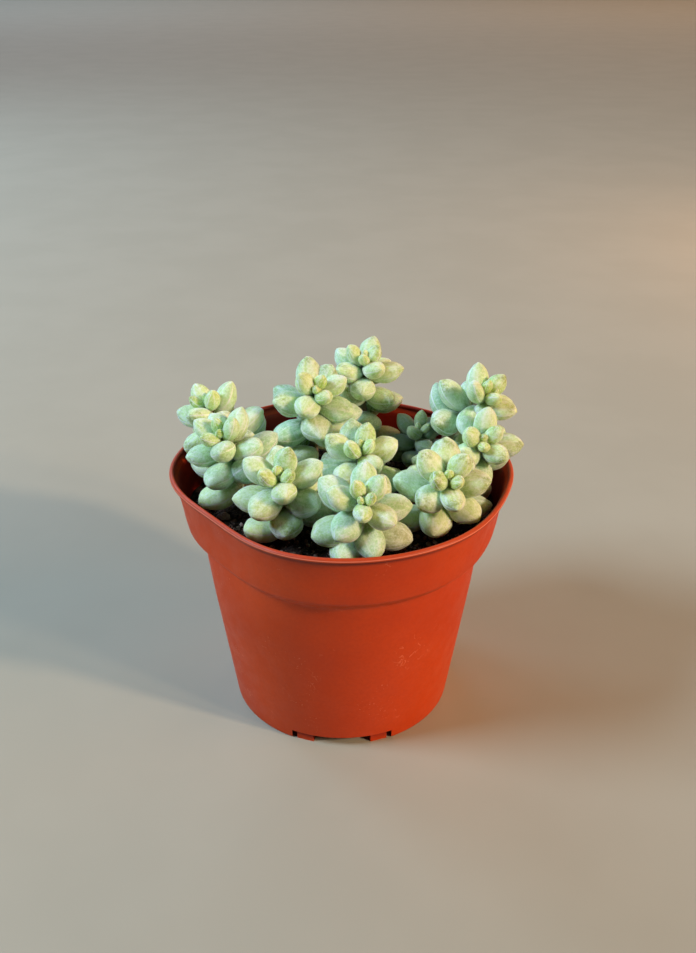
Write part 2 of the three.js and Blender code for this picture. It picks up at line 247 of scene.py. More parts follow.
# Camera, fitted to the pot: its place in metres, its pitch in degrees and its sensor in millimetres
CAMERA_DEPTH = 0.23359
CAMERA_HEIGHT = 0.1902
CAMERA_PITCH = 28.1
NEAREST_SEEN = 0.01
SENSOR_WIDTH = 36
FOCAL_PIXELS = 1000
AXIS_OFFSET_PIXELS = 6.1
PHOTO_HEIGHT_PIXELS = 953


# Meshes

def mesh_object(name, points, faces, material, attributes=None):
    """A smooth mesh in the scene, with named values for its points."""
    mesh = bpy.data.meshes.new(name)
    mesh.from_pydata((np.asarray(points) * MM).tolist(), [], faces)
    set_values(mesh, attributes or {})
    mesh.validate()
    mesh.update()
    smooth(mesh)
    thing = bpy.data.objects.new(name, mesh)
    bpy.context.scene.collection.objects.link(thing)
    mesh.materials.append(material)
    return thing


def smooth(mesh):
    mesh.polygons.foreach_set("use_smooth", [True] * len(mesh.polygons))


def set_values(mesh, attributes):
    for label, values in attributes.items():
        layer = mesh.attributes.new(label, "FLOAT", "POINT")
        layer.data.foreach_set("value", np.asarray(values, dtype=np.float32))


def belongs(thing, slot, *nodes):
    """Tells the frame a piece's body and hides the CAD nodes that it replaces. The slot is not used."""
    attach(thing, "root")
    if nodes:
        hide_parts(*nodes)


def seeded(seed):
    """Draws from 0 up to 1, which are the same in each run and in the CAD model."""
    mask = 0xFFFFFFFF
    state = seed

    def draw():
        nonlocal state
        state = (state + 0x6D2B79F5) & mask
        mixed = ((state ^ (state >> 15)) * (state | 1)) & mask
        mixed ^= (mixed + (((mixed ^ (mixed >> 7)) * (mixed | 61)) & mask)) & mask
        return (mixed ^ (mixed >> 14)) / (mask + 1)

    return draw


def joined(parts):
    """The points and faces of several meshes as those of one."""
    points, faces = [], []
    for some_points, some_faces in parts:
        start = len(points)
        points.extend(some_points)
        faces += [tuple(start + i for i in face) for face in some_faces]
    return points, faces


def ring_faces(around, rings):
    """Faces of a closed surface whose points are a first one, rings of them and a last one."""
    top = 1 + (rings - 1) * around
    faces = []
    for k in range(around):
        after = (k + 1) % around
        faces.append((0, 1 + after, 1 + k))
        for i in range(rings - 1):
            low, high = 1 + i * around, 1 + (i + 1) * around
            faces.append((low + k, low + after, high + after, high + k))
        faces.append((top + k, top + after, top + around))
    return faces


# Material nodes

def srgb(red, green, blue):
    def linear(value):
        share = value / 255
        return share / 12.92 if share <= 0.04045 else ((share + 0.055) / 1.055) ** 2.4

    return (linear(red), linear(green), linear(blue), 1.0)


# Colours of the pot
PLASTIC_DEEP = srgb(194, 60, 4)
PLASTIC_PALE = srgb(202, 66, 6)
PLASTIC_GRAIN = srgb(176, 49, 5)
PLASTIC_DUST = srgb(232, 150, 112)
PLASTIC_SCUFF = srgb(236, 142, 104)
# Painted shade for the inside of the pot
PLASTIC_INSIDE_SHADE = srgb(112, 8, 2)
LIP_DULL_TINT = srgb(164, 70, 40)
# Painted highlight along the lip's outer edge
LIP_HIGHLIGHT = srgb(248, 154, 124)
# Painted shade under the lip
LIP_SHADOW = srgb(104, 20, 3)

# Colours of the soil
SOIL_DARK = srgb(20, 15, 12)
SOIL_BROWN = srgb(56, 42, 33)
SOIL_FIBRE = srgb(126, 106, 90)
CRUMB_DARK = srgb(18, 14, 12)
CRUMB_BROWN = srgb(112, 86, 70)
CRUMB_PALE = srgb(168, 150, 140)
GRIT_DARK = srgb(104, 86, 70)
GRIT_PALE = srgb(162, 148, 128)
GRIT_STAIN = srgb(92, 72, 56)

# Colours of the leaves: pairs are for leaves of the lowest and the highest tone
CROWN = (srgb(166, 205, 84), srgb(190, 221, 118))
MINT = (srgb(176, 219, 160), srgb(204, 229, 160))
OLD_BLUE = srgb(144, 198, 172)
LEAF_HEART = srgb(212, 228, 152)
OLD_TAN = srgb(184, 174, 112)
# Deeper greens for the leaves' bases, partly painted shade
YOUNG_BASE_AND_SHADE = srgb(124, 167, 30)
OLD_BASE_AND_SHADE = srgb(94, 136, 38)
BLOOM = srgb(218, 238, 216)
STREAK_WHITE = srgb(234, 248, 240)
STREAK_GREEN = srgb(112, 155, 46)
TIP_GREEN = srgb(124, 146, 40)
# Painted sheen along the leaves' edges
EDGE_SHEEN = srgb(240, 250, 252)
CHALK = srgb(240, 251, 246)
MOTTLE_WHITE = srgb(236, 249, 242)
MOTTLE_GREEN = srgb(114, 157, 50)
SPECK = srgb(132, 138, 84)
# Painted shade for the shoot that stands behind the others
LEAF_SHADE = srgb(52, 83, 64)
BARK_DARK = srgb(84, 66, 48)
BARK_PALE = srgb(152, 128, 98)

# Colours of the floor
FLOOR_DEEP = srgb(160, 159, 141)
FLOOR_PALE = srgb(163, 162, 144)


class Nodes:
    """A material with its Principled shader, and short names for the nodes that feed it."""

    def __init__(self, name, settings):
        self.material = bpy.data.materials.new(name)
        self.material.use_nodes = True
        self.tree = self.material.node_tree
        self.shader = self.tree.nodes["Principled BSDF"]
        for socket, value in settings.items():
            self.shader.inputs[socket].default_value = value
        self.place = self.add("ShaderNodeTexCoord").outputs["Object"]

    def add(self, kind, **settings):
        node = self.tree.nodes.new(kind)
        for key, value in settings.items():
            setattr(node, key, value)
        return node

    def link(self, source, target):
        if isinstance(source, (int, float, tuple)):
            target.default_value = source
        else:
            self.tree.links.new(source, target)

    def attribute(self, name):
        return self.add("ShaderNodeAttribute", attribute_name=name).outputs["Fac"]

    def noise(self, size, detail=3.0, roughness=0.55, offset=0.0):
        """Noise whose lumps are about this many millimetres across."""
        node = self.add("ShaderNodeTexNoise")
        node.inputs["Scale"].default_value = 1 / (size * MM)
        node.inputs["Detail"].default_value = detail
        node.inputs["Roughness"].default_value = roughness
        mapping = self.add("ShaderNodeMapping")
        mapping.inputs["Location"].default_value = (offset, offset * 0.7, -offset)
        self.link(self.place, mapping.inputs["Vector"])
        self.link(mapping.outputs["Vector"], node.inputs["Vector"])
        return node.outputs["Fac"]

    def near(self, place, core, reach):
        """One up to the core's distance from a place in millimetres, falling to zero at the reach."""
        node = self.add("ShaderNodeVectorMath", operation="DISTANCE")
        self.link(self.place, node.inputs[0])
        node.inputs[1].default_value = tuple(value * MM for value in place)
        return self.between(node.outputs["Value"], reach * MM, core * MM)

    def math(self, operation, first, second=0.0, clamp=False):
        node = self.add("ShaderNodeMath", operation=operation, use_clamp=clamp)
        self.link(first, node.inputs[0])
        self.link(second, node.inputs[1])
        return node.outputs[0]

    def both(self, first, second):
        """One share of another, from zero to one."""
        return self.math("MULTIPLY", first, second, clamp=True)

    def between(self, value, low, high, to_low=0.0, to_high=1.0):
        """Goes smoothly from one result to the other as the value goes from low to high."""
        node = self.add("ShaderNodeMapRange", interpolation_type="SMOOTHSTEP")
        self.link(value, node.inputs["Value"])
        node.inputs["From Min"].default_value = low
        node.inputs["From Max"].default_value = high
        node.inputs["To Min"].default_value = to_low
        node.inputs["To Max"].default_value = to_high
        return node.outputs["Result"]

    def mix(self, share, first, second):
        node = self.add("ShaderNodeMix", data_type="RGBA")
        self.link(share, node.inputs["Factor"])
        self.link(first, node.inputs[6])
        self.link(second, node.inputs[7])
        return node.outputs[2]

    def cover(self, colour, share, strength, top):
        """A colour with another on top of it, as much as a share of this strength."""
        return self.mix(self.math("MULTIPLY", share, strength), colour, top)

    def bump(self, height, strength, distance, under=None):
        node = self.add("ShaderNodeBump")
        node.inputs["Strength"].default_value = strength
        node.inputs["Distance"].default_value = distance * MM
        self.link(height, node.inputs["Height"])
        if under is not None:
            self.link(under, node.inputs["Normal"])
        return node.outputs["Normal"]

    def finish(self, colour, normal, roughness=None):
        self.link(colour, self.shader.inputs["Base Color"])
        self.link(normal, self.shader.inputs["Normal"])
        if roughness is not None:
            self.link(roughness, self.shader.inputs["Roughness"])
        return self.material


# Pot

def body_radius(z):
    return BASE_RADIUS + BODY_SLOPE * z


OUTER_WALL = [(body_radius(z), z) for z in (0, DENT_STARTS, BODY_TOP)] + BAND_OUTLINE
INNER_WALL = [
    (radius - WALL, z + LEDGE_RISE if BODY_TOP < z < LEDGE_TOP else z)
    for radius, z in OUTER_WALL[1:]
]


def inner_radius(z):
    wall = [(body_radius(FLOOR_TOP) - WALL, FLOOR_TOP), *INNER_WALL, (BEAD_CENTRE - BEAD_RADIUS, POT_HEIGHT)]
    for (r0, z0), (r1, z1) in zip(wall, wall[1:]):
        if z <= z1:
            return r0 + (r1 - r0) * (z - z0) / (z1 - z0)
    return BEAD_CENTRE - BEAD_RADIUS


def off_direction(angle, direction):
    """How far an angle lies from a direction, from -180 to 180 degrees."""
    return (angle - direction + 180) % 360 - 180


def rim_shift(angle, z):
    """How far the rim's dents move the wall outwards, at an angle in degrees and a height."""
    share = min(max((z - DENT_STARTS) / (DENT_FULL - DENT_STARTS), 0.0), 1.0)
    height = share * share * (3 - 2 * share)
    shift = 0.0
    for direction, depth, spread in RIM_DENTS:
        shift += depth * math.exp(-0.5 * (off_direction(angle, direction) / spread) ** 2)
    return shift * height


def dented(radius, angle, z):
    """The point at a radius, an angle in radians and a height, moved by the rim's dents."""
    grown = radius + rim_shift(math.degrees(angle), z)
    return (grown * math.cos(angle), grown * math.sin(angle), z)


def ring(radius, z, around):
    return [dented(radius, 2 * math.pi * k / around, z) for k in range(around)]


def rounded(outline):
    """The outline of (radius, height, rounding) corners with each corner turned into an arc."""
    made = []
    for i, (radius, z, rounding) in enumerate(outline):
        corner = np.array((radius, z))
        if rounding <= 0 or i in (0, len(outline) - 1):
            made.append(corner)
            continue
        sides = []
        for other in (outline[i - 1], outline[i + 1]):
            way = np.array(other[:2]) - corner
            length = np.linalg.norm(way)
            sides.append(corner + way / length * min(rounding, ROUNDING_SHARE * length))
        for step in range(ROUNDING_STEPS + 1):
            t = step / ROUNDING_STEPS
            made.append((1 - t) ** 2 * sides[0] + 2 * t * (1 - t) * corner + t * t * sides[1])
    return made


def subdivided(points, longest):
    """The outline with points added until no step is longer than this."""
    made = [points[0]]
    for start, end in zip(points, points[1:]):
        count = max(1, math.ceil(np.linalg.norm(end - start) / longest))
        made += [start + (end - start) * (i + 1) / count for i in range(count)]
    return made


def turned(outline, around):
    """Points and faces of an outline that starts and ends on the axis, turned about it."""
    points = [(0, 0, outline[0][1])]
    for radius, z in outline[1:-1]:
        points += ring(radius, z, around)
    points.append((0, 0, outline[-1][1]))
    return points, ring_faces(around, len(outline) - 2)


def lip_outline():
    """The round lip, from its underside outwards and over the top to its inner side."""
    points = []
    for i in range(LIP_STEPS + 1):
        turn = math.radians(LIP_FROM + (LIP_TO - LIP_FROM) * i / LIP_STEPS)
        out, up = BEAD_RADIUS * math.cos(turn), BEAD_RADIUS * math.sin(turn)
        points.append((BEAD_CENTRE + out, LIP_MIDDLE + up, 0))
    return points


def pot_outline():
    """The wall's section, from its underside on the axis round the lip to its inner floor."""
    band = [(*place, rounding) for place, rounding in zip(BAND_OUTLINE, BAND_ROUNDING)]
    inner = [(*place, LEDGE_ROUNDING) for place in reversed(INNER_WALL[1:])]
    corners = [
        (0, FLOOR_UNDERSIDE, 0),
        (body_radius(FLOOR_UNDERSIDE) - WALL, FLOOR_UNDERSIDE, FLOOR_ROUNDING),
        (BASE_RADIUS - WALL, 0, FOOT_ROUNDING[0]),
        (BASE_RADIUS, 0, FOOT_ROUNDING[1]),
        (body_radius(BODY_TOP), BODY_TOP, LEDGE_ROUNDING),
        *band,
        (*LIP_UNDERCUT, UNDERCUT_ROUNDING),
        *lip_outline(),
        *inner,
        (body_radius(FLOOR_TOP) - WALL, FLOOR_TOP, FLOOR_ROUNDING),
        (0, FLOOR_TOP, 0),
    ]
    return subdivided(rounded(corners), POT_STEP)


def box_points(size, centre, direction):
    """The eight corners and six faces of a box, turned about the pot's axis."""
    turn = Matrix.Rotation(math.radians(direction), 3, "Z")
    points = []
    for x in (-0.5, 0.5):
        for y in (-0.5, 0.5):
            for z in (-0.5, 0.5):
                corner = Vector((x * size[0], y * size[1], z * size[2])) + Vector(centre)
                points.append(tuple(turn @ corner))
    faces = [(0, 1, 3, 2), (4, 6, 7, 5), (0, 4, 5, 1), (2, 3, 7, 6), (0, 2, 6, 4), (1, 5, 7, 3)]
    return points, faces


def drain_points(x, y):
    """The points and faces of a round bar where a drain hole is cut."""
    points = []
    for z in (FLOOR_UNDERSIDE - CUT_PAST, FLOOR_TOP + CUT_PAST):
        for k in range(DRAIN_SIDES):
            angle = 2 * math.pi * k / DRAIN_SIDES
            points.append((x + DRAIN_RADIUS * math.cos(angle), y + DRAIN_RADIUS * math.sin(angle), z))
    faces = [tuple(reversed(range(DRAIN_SIDES))), tuple(range(DRAIN_SIDES, 2 * DRAIN_SIDES))]
    for k in range(DRAIN_SIDES):
        after = (k + 1) % DRAIN_SIDES
        faces.append((k, after, DRAIN_SIDES + after, DRAIN_SIDES + k))
    return points, faces


def apply_boolean(thing, tool, operation):
    modifier = thing.modifiers.new("cut", "BOOLEAN")
    modifier.operation = operation
    modifier.object = tool
    modifier.solver = "MANIFOLD"
    depsgraph = bpy.context.evaluated_depsgraph_get()
    made = bpy.data.meshes.new_from_object(thing.evaluated_get(depsgraph))
    thing.modifiers.clear()
    thing.data = made
    bpy.data.objects.remove(tool)
    weld(made)


def weld(mesh):
    """Merges the points that a cut leaves in the same place, so that no face has a side of no length."""
    form = bmesh.new()
    form.from_mesh(mesh)
    bmesh.ops.remove_doubles(form, verts=form.verts, dist=WELD_METRES)
    bmesh.ops.dissolve_degenerate(form, edges=form.edges, dist=WELD_METRES)
    form.to_mesh(mesh)
    form.free()


def make_pot(material):
    points, faces = turned(pot_outline(), POT_AROUND)
    pot = mesh_object("pot_wall", points, faces, material)
    notch_size = (NOTCH_DEPTH, NOTCH_WIDTH, NOTCH_HEIGHT * 2)
    cuts = [box_points(notch_size, (BASE_RADIUS, 0, 0), direction) for direction in NOTCH_DIRECTIONS]
    cuts.append(drain_points(0, 0))
    for i in range(DRAINS):
        angle = 2 * math.pi * i / DRAINS
        cuts.append(drain_points(DRAIN_RING * math.cos(angle), DRAIN_RING * math.sin(angle)))
    apply_boolean(pot, mesh_object("cutter", *joined(cuts), material), "DIFFERENCE")
    lugs = [
        box_points(LUG_SIZE, (LUG_RADIUS, 0, LUG_SIZE[2] / 2), direction + side)
        for direction in NOTCH_DIRECTIONS
        for side in (-LUG_OFFSET, LUG_OFFSET)
    ]
    apply_boolean(pot, mesh_object("lugs", *joined(lugs), material), "UNION")
    smooth(pot.data)
    pot.data.set_sharp_from_angle(angle=math.radians(SHARP_ANGLE))
    mark_pot(pot.data)
    belongs(pot, "pot_plastic", "pot")


def mark_pot(mesh):
    """Tells the material which points are inside, on the lip, at its painted highlight or in painted shade
    under it.
    """
    flat = np.empty(3 * len(mesh.vertices))
    mesh.vertices.foreach_get("co", flat)
    x, y, z = (flat.reshape(-1, 3) / MM).T
    angle = np.degrees(np.arctan2(y, x))
    radius = np.hypot(x, y) - np.array([rim_shift(*place) for place in zip(angle, z)])
    turn = np.degrees(np.arctan2(z - LIP_MIDDLE, radius - BEAD_CENTRE)) % 360
    on_lip = z > POT_HEIGHT - 2 * BEAD_RADIUS
    wall_radii, wall_heights = zip(*OUTER_WALL)
    depth = np.interp(z, wall_heights, wall_radii) - radius
    lip_under_shade = np.interp(off_direction(turn, 0), LIP_UNDER_SHADE, (0, 1, 1, 0))
    wall_under_shade = np.where(depth < WALL / 2, np.interp(z, WALL_UNDER_SHADE, (0, 1, 1, 0)), 0)
    set_values(mesh, {
        "lip": on_lip,
        # A painted highlight along the lip's outer edge
        "edge": np.where(on_lip, np.exp(-((off_direction(turn, LIP_HIGHLIGHT_TURN) / LIP_HIGHLIGHT_SPREAD) ** 2)), 0),
        # Painted shade under the lip and on the wall just below it
        "under": np.where(on_lip, lip_under_shade, wall_under_shade),
        # Painted shade on the inner wall and the lip's inner side
        "inside": np.where(on_lip, np.interp(turn, LIP_INNER, (0, 1, 1, 0)), depth > WALL / 2),
    })


def pot_material():
    look = Nodes("terracotta_plastic", {"Roughness": 0.46, "Specular IOR Level": 0.32})
    broad = look.noise(28, 2)
    colour = look.mix(look.between(broad, 0.35, 0.65), PLASTIC_DEEP, PLASTIC_PALE)
    grain = look.noise(0.9, 4)
    colour = look.mix(look.between(grain, 0.3, 0.75, 0, 0.3), colour, PLASTIC_GRAIN)
    specks = look.between(look.noise(0.6, 2, offset=3.1), 0.64, 0.72)
    dusty = look.between(look.noise(15, 3, offset=1.7), 0.53, 0.66)
    colour = look.cover(colour, look.both(specks, dusty), 0.55, PLASTIC_DUST)
    colour = look.cover(colour, scuff_lines(look), 0.55, PLASTIC_SCUFF)
    # A duller, darker tint over the whole lip
    colour = look.cover(colour, look.attribute("lip"), 0.4, LIP_DULL_TINT)
    # A thin painted highlight along the lip's outer edge
    colour = look.cover(colour, look.attribute("edge"), 0.72, LIP_HIGHLIGHT)
    # Painted shade under the lip and in a line on the wall below it
    colour = look.cover(colour, look.attribute("under"), 0.8, LIP_SHADOW)
    # Painted shade on the inner wall and the lip's inner side, deeper in places by noise
    inside_shade = look.between(look.noise(3.5, 4, offset=5.5), 0.2, 0.8, 0.8, 0.95)
    colour = look.cover(colour, look.attribute("inside"), inside_shade, PLASTIC_INSIDE_SHADE)
    rough = look.between(look.noise(5, 4, offset=7.3), 0.3, 0.7, 0.4, 0.56)
    normal = look.bump(grain, 0.12, 0.08)
    normal = look.bump(broad, 0.25, 0.6, normal)
    return look.finish(colour, normal, rough)


def scuff_lines(look):
    """Thin pale scratches that wander and break off, in a few places and most at one low spot."""
    off_line = look.math("ABSOLUTE", look.math("SUBTRACT", look.noise(5, 3, offset=2.9), 0.5))
    line = look.between(off_line, 0.02, 0.006)
    broken = look.between(look.noise(1.6, 3, offset=8.1), 0.46, 0.58)
    places = look.math("MULTIPLY", look.between(look.noise(11, 2, offset=5.9), 0.6, 0.7), 0.5)
    places = look.math("MAXIMUM", places, look.near(SCUFF_PLACE, SCUFF_CORE, SCUFF_REACH))
    return look.both(look.both(line, broken), places)


# Soil

def soil_height(x, y):
    """The height of the soil's uneven top, which is highest in the middle."""
    edge = min(math.hypot(x, y) / inner_radius(SOIL_TOP), 1.0)
    height = SOIL_TOP + SOIL_MOUND * (1 - edge ** 2)
    place = Vector((x, y, NOISE_LEVEL))
    for fineness, roughness, step, octaves, most in SOIL_LAYERS:
        height += most * noise.fractal(place * fineness, roughness, step, octaves)
    return height


def make_soil(material):
    side = [z for _, z in INNER_WALL if z < SOIL_TOP]
    levels = [(inner_radius(FLOOR_TOP) - GAP, FLOOR_TOP + GAP)]
    levels += [(inner_radius(z) - GAP, z + GAP / 2) for z in side]
    rim = inner_radius(SOIL_TOP) - GAP
    points = [(0, 0, FLOOR_TOP + GAP)]
    for radius, z in levels:
        points += ring(radius, z, SOIL_AROUND)
    for i in range(SOIL_RINGS):
        for x, y, _ in ring(rim * (1 - i / SOIL_RINGS), SOIL_TOP, SOIL_AROUND):
            points.append((x, y, soil_height(x, y)))
    points.append((0, 0, soil_height(0, 0)))
    soil = mesh_object("soil_body", points, ring_faces(SOIL_AROUND, len(levels) + SOIL_RINGS), material)
    belongs(soil, "soil", "soil")


def ball_mesh():
    """Points and faces of a coarse ball with a radius of one."""
    form = bmesh.new()
    bmesh.ops.create_icosphere(form, subdivisions=1, radius=1)
    points = np.array([v.co[:] for v in form.verts])
    faces = [tuple(v.index for v in face.verts) for face in form.faces]
    form.free()
    return points, faces


def scattered(name, material, lumps, draw, flatness, roughness):
    """Many small lumps in one mesh, each with its own shape and turn, and a shade if it has none yet."""
    ball, ball_faces = ball_mesh()
    parts, shades = [], []
    for centre, size, shade in lumps:
        turn = Matrix.Rotation(draw() * LUMP_TURN, 3, "Z") @ Matrix.Rotation(draw() * LUMP_TURN, 3, "X")
        width = LUMP_NARROWEST + (1 - LUMP_NARROWEST) * draw()
        shape = np.array((1.0, width, flatness + LUMP_HEIGHT_SPREAD * draw()))
        offset = Vector((draw() * LUMP_OFFSET, draw() * LUMP_OFFSET, draw() * LUMP_OFFSET))
        swell = [1 + roughness * noise.noise(Vector(p) * LUMP_FINENESS + offset) for p in ball]
        body = (ball * np.array(swell)[:, None] * shape * size) @ np.array(turn).T + np.array(centre)
        parts.append((body, ball_faces))
        own_shade = draw() if shade is None else shade + CLUSTER_SHADE_SPREAD * (draw() - 0.5)
        shades.append(np.full(len(ball), own_shade))
    thing = mesh_object(name, *joined(parts), material, {"shade": np.concatenate(shades)})
    belongs(thing, "soil")


def sprinkled(draw, count, smallest, spread, power, rise):
    """Centres and sizes of lumps anywhere on the soil, most of them small. Their shades come later."""
    lumps = []
    for _ in range(count):
        radius = (inner_radius(SOIL_TOP) - CRUMB_MARGIN) * math.sqrt(draw())
        x, y, _ = dented(radius, 2 * math.pi * draw(), SOIL_TOP)
        size = smallest + spread * draw() ** power
        lumps.append(((x, y, soil_height(x, y) + rise * size), size, None))
    return lumps


def clustered(draw):
    """Centres, sizes and shades of the lumps in the groups."""
    lumps = []
    for x, y, spread, count, size, shade in CLUSTERS:
        for _ in range(count):
            away = spread * draw() ** CLUSTER_EVENNESS
            angle = 2 * math.pi * draw()
            place = (x + away * math.cos(angle), y + away * math.sin(angle))
            own_size = size * (CLUSTER_SMALLEST + (1 - CLUSTER_SMALLEST) * draw())
            lumps.append(((*place, soil_height(*place) + CLUSTER_RISE * own_size), own_size, shade))
    return lumps


def make_crumbs(soil_look, grit_look):
    draw = seeded(CRUMB_SEED)
    crumbs = sprinkled(draw, count=2200, smallest=0.25, spread=0.75, power=3, rise=0.25)
    scattered("soil_crumbs", soil_look, crumbs, draw, flatness=0.5, roughness=0.6)
    draw = seeded(GRIT_SEED)
    grit = sprinkled(draw, count=130, smallest=0.3, spread=0.6, power=2, rise=0.35)
    scattered("soil_grit", grit_look, grit, draw, flatness=0.6, roughness=0.3)
    draw = seeded(CLUSTER_SEED)
    scattered("soil_clusters", soil_look, clustered(draw), draw, flatness=0.7, roughness=0.7)


def soil_material(name, shaded=False):
    """Dark soil with pale fibres, for crumbs also darker or paler by their shade."""
    look = Nodes(name, {"Roughness": 0.92, "Specular IOR Level": 0.2})
    colour = look.mix(look.between(look.noise(2.2, 5), 0.35, 0.7), SOIL_DARK, SOIL_BROWN)
    fibres = look.between(look.noise(0.45, 3, offset=2.3), 0.56, 0.68)
    colour = look.cover(colour, fibres, 0.6, SOIL_FIBRE)
    if shaded:
        shade = look.attribute("shade")
        colour = look.mix(look.between(shade, 0.6, 0.82, 0, 0.8), colour, CRUMB_BROWN)
        colour = look.mix(look.between(shade, 0.86, 0.95, 0, 0.85), colour, CRUMB_PALE)
        colour = look.mix(look.between(shade, 0.0, 0.3, 0.5, 0), colour, CRUMB_DARK)
    return look.finish(colour, look.bump(look.noise(0.45, 5, 0.7), 0.8, 0.35))


def grit_material():
    look = Nodes("pale_grit", {"Roughness": 0.8})
    colour = look.mix(look.attribute("shade"), GRIT_DARK, GRIT_PALE)
    colour = look.mix(look.between(look.noise(0.4, 4), 0.4, 0.7, 0, 0.5), colour, GRIT_STAIN)
    return look.finish(colour, look.bump(look.noise(0.3, 4), 0.5, 0.2))


# Where the leaves go, by the same rule as in the CAD model

def unit(vector):
    return vector / np.linalg.norm(vector)


def sides_of(axis):
    """Two directions square to an axis and to each other."""
    across = unit(np.array((1.0, 0, 0)) - axis[0] * axis)
    return across, np.cross(axis, across)


def stem_of(shoot):
    """Points down the stem, which leaves the soil upright and leans at its tip."""
    root, tip, lean = shoot[:3]
    root = np.array((*root, SOIL_TOP), float)
    tip = np.array(tip, float)
    axis = unit(np.array((*lean, 1.0)))
    reach = STEM_REACH * np.linalg.norm(tip - root)
    low = root + np.array((0, 0, reach))
    high = tip - axis * reach
    samples = []
    for i in range(ARC_SAMPLES + 1):
        t = 1 - i / ARC_SAMPLES
        s = 1 - t
        samples.append(s ** 3 * root + 3 * s * s * t * low + 3 * s * t * t * high + t ** 3 * tip)
    return np.array(samples)


def along_stem(samples, distance):
    """The point this far below the tip and the way up the stem there, or None past its end."""
    left = distance
    for i in range(1, len(samples)):
        step = np.linalg.norm(samples[i] - samples[i - 1])
        if left <= step:
            point = samples[i - 1] + (samples[i] - samples[i - 1]) * left / step
            return point, unit(samples[i - 1] - samples[i])
        left -= step
    return None


def leaf_growth(i, pace):
    """How much of its full size a leaf has."""
    return 1 - math.exp(-(((i + 1) / pace) ** GROWTH_POWER))


def leaf_tilt(i):
    """How far a leaf leans away from the stem, in degrees."""
    opened = 1 - math.exp(-(((i + 0.5) / TILT_PACE) ** TILT_POWER))
    return TILT_FIRST + TILT_GAIN * opened + TILT_SAG * i


def leaf_drop(i, size):
    """How far below the tip a leaf sits."""
    return size * (DROP_START + DROP_STEP * i + DROP_STRETCH * i * i)


def leaf_outline(u):
    """The leaf's width, at most about one, at this share of its length."""
    u = np.clip(u, 0, 1)
    return np.sin(np.pi * u ** OUTLINE_SKEW).clip(0) ** (OUTLINE_BLUNT + OUTLINE_POINT * u * u)


def leaf_place(seat, shoot, i, draws, tilt_by, turn_by, shrink):
    """Where a leaf sits, which way it points and how large it is."""
    point, axis = seat
    first, turn, pace, size = shoot[3:]
    across, back = sides_of(axis)
    spiral = first + turn * GOLDEN_ANGLE * i
    around = math.radians(spiral + turn_by + TURN_SPREAD * (draws[0] - 0.5))
    outward = across * math.cos(around) + back * math.sin(around)
    tilt = math.radians(leaf_tilt(i) + tilt_by + TILT_SPREAD * (draws[1] - 0.5))
    along = axis * math.cos(tilt) + outward * math.sin(tilt)
    upper = axis * math.sin(tilt) - outward * math.cos(tilt)
    growth = leaf_growth(i, pace)
    longer = 1 + SIZE_SPREAD * (draws[2] - 0.5)
    wider = 1 + SIZE_SPREAD * (draws[3] - 0.5)
    length = growth * (LEAF_LENGTH * size * longer * shrink + STEM_RADIUS)
    width = growth * LEAF_WIDTH * size * wider * math.sqrt(shrink)
    return {
        "base": point, "along": along, "upper": upper, "edge": np.cross(upper, along),
        "length": length, "width": width, "thickness": LEAF_THICKNESS * width, "index": i,
    }


def leaf_spine(leaf, u):
    """The points of the leaf's middle line at these shares of its length."""
    u = np.asarray(u, float)[..., None]
    way = leaf["along"] * u + leaf["upper"] * LEAF_CURL * u * u
    return leaf["base"] + leaf["length"] * way


def leaf_balls(leaf):
    """Rows of x, y, z and radius of balls that fill the leaf."""
    rows = [np.append(leaf_spine(leaf, 1.0), TIP_BALL)]
    for u in BALL_PLACES:
        radius = 0.5 * leaf["thickness"] * leaf_outline(u)
        aside = 0.5 * leaf["width"] * leaf_outline(u) - radius
        for side in (-aside, aside):
            rows.append(np.append(leaf_spine(leaf, u) + leaf["edge"] * side, radius))
    return np.array(rows)


def clear_of_pot(ball):
    """Whether a ball keeps clear of the soil, the wall and the lip."""
    x, y, z, radius = ball
    if z - radius < SOIL_TOP + SOIL_MOUND + CLEAR:
        return False
    out = math.hypot(x, y)
    angle = math.degrees(math.atan2(y, x))
    if z < LIP_MIDDLE:
        return out + radius + CLEAR < inner_radius(z) + rim_shift(angle, z)
    to_bead = math.hypot(out - BEAD_CENTRE - rim_shift(angle, LIP_MIDDLE), z - LIP_MIDDLE)
    return to_bead > radius + BEAD_RADIUS + CLEAR


def clear_leaf(seat, shoot, i, draws, others):
    """The leaf, turned, raised or made smaller until it is clear, or None if nothing helps."""
    for shrink in SHRINKS:
        for tilt_by, turn_by in TURNS:
            leaf = leaf_place(seat, shoot, i, draws, tilt_by, turn_by, shrink)
            balls = leaf_balls(leaf)
            away = np.linalg.norm(balls[:, None, :3] - others[None, :, :3], axis=2)
            near = away <= balls[:, None, 3] + others[None, :, 3] + CLEAR
            if not near.any() and all(clear_of_pot(ball) for ball in balls):
                return leaf
    return None


def place_leaves():
    """Grows all shoots together, one leaf of each in turn from the tip down."""
    shoots = []
    for number, (name, shoot) in enumerate(SHOOTS.items()):
        samples = stem_of(shoot)
        balls = np.column_stack((samples, np.full(len(samples), STEM_RADIUS)))
        shoots.append({
            "name": name, "shoot": shoot, "samples": samples, "balls": balls,
            "leaves": [], "draw": seeded(number + 1), "done": False,
        })
    i = 0
    while not all(one["done"] for one in shoots):
        for one in shoots:
            seat = None if one["done"] else along_stem(one["samples"], leaf_drop(i, one["shoot"][-1]))
            if seat is None or seat[0][2] < SOIL_TOP + LOWEST_LEAF:
                one["done"] = True
                continue
            draws = [one["draw"]() for _ in range(4)]
            others = np.concatenate([other["balls"] for other in shoots if other is not one])
            leaf = clear_leaf(seat, one["shoot"], i, draws, others)
            if leaf:
                one["leaves"].append(leaf)
                one["balls"] = np.concatenate((one["balls"], leaf_balls(leaf)))
        i += 1
    return shoots


# Fine leaves and stems

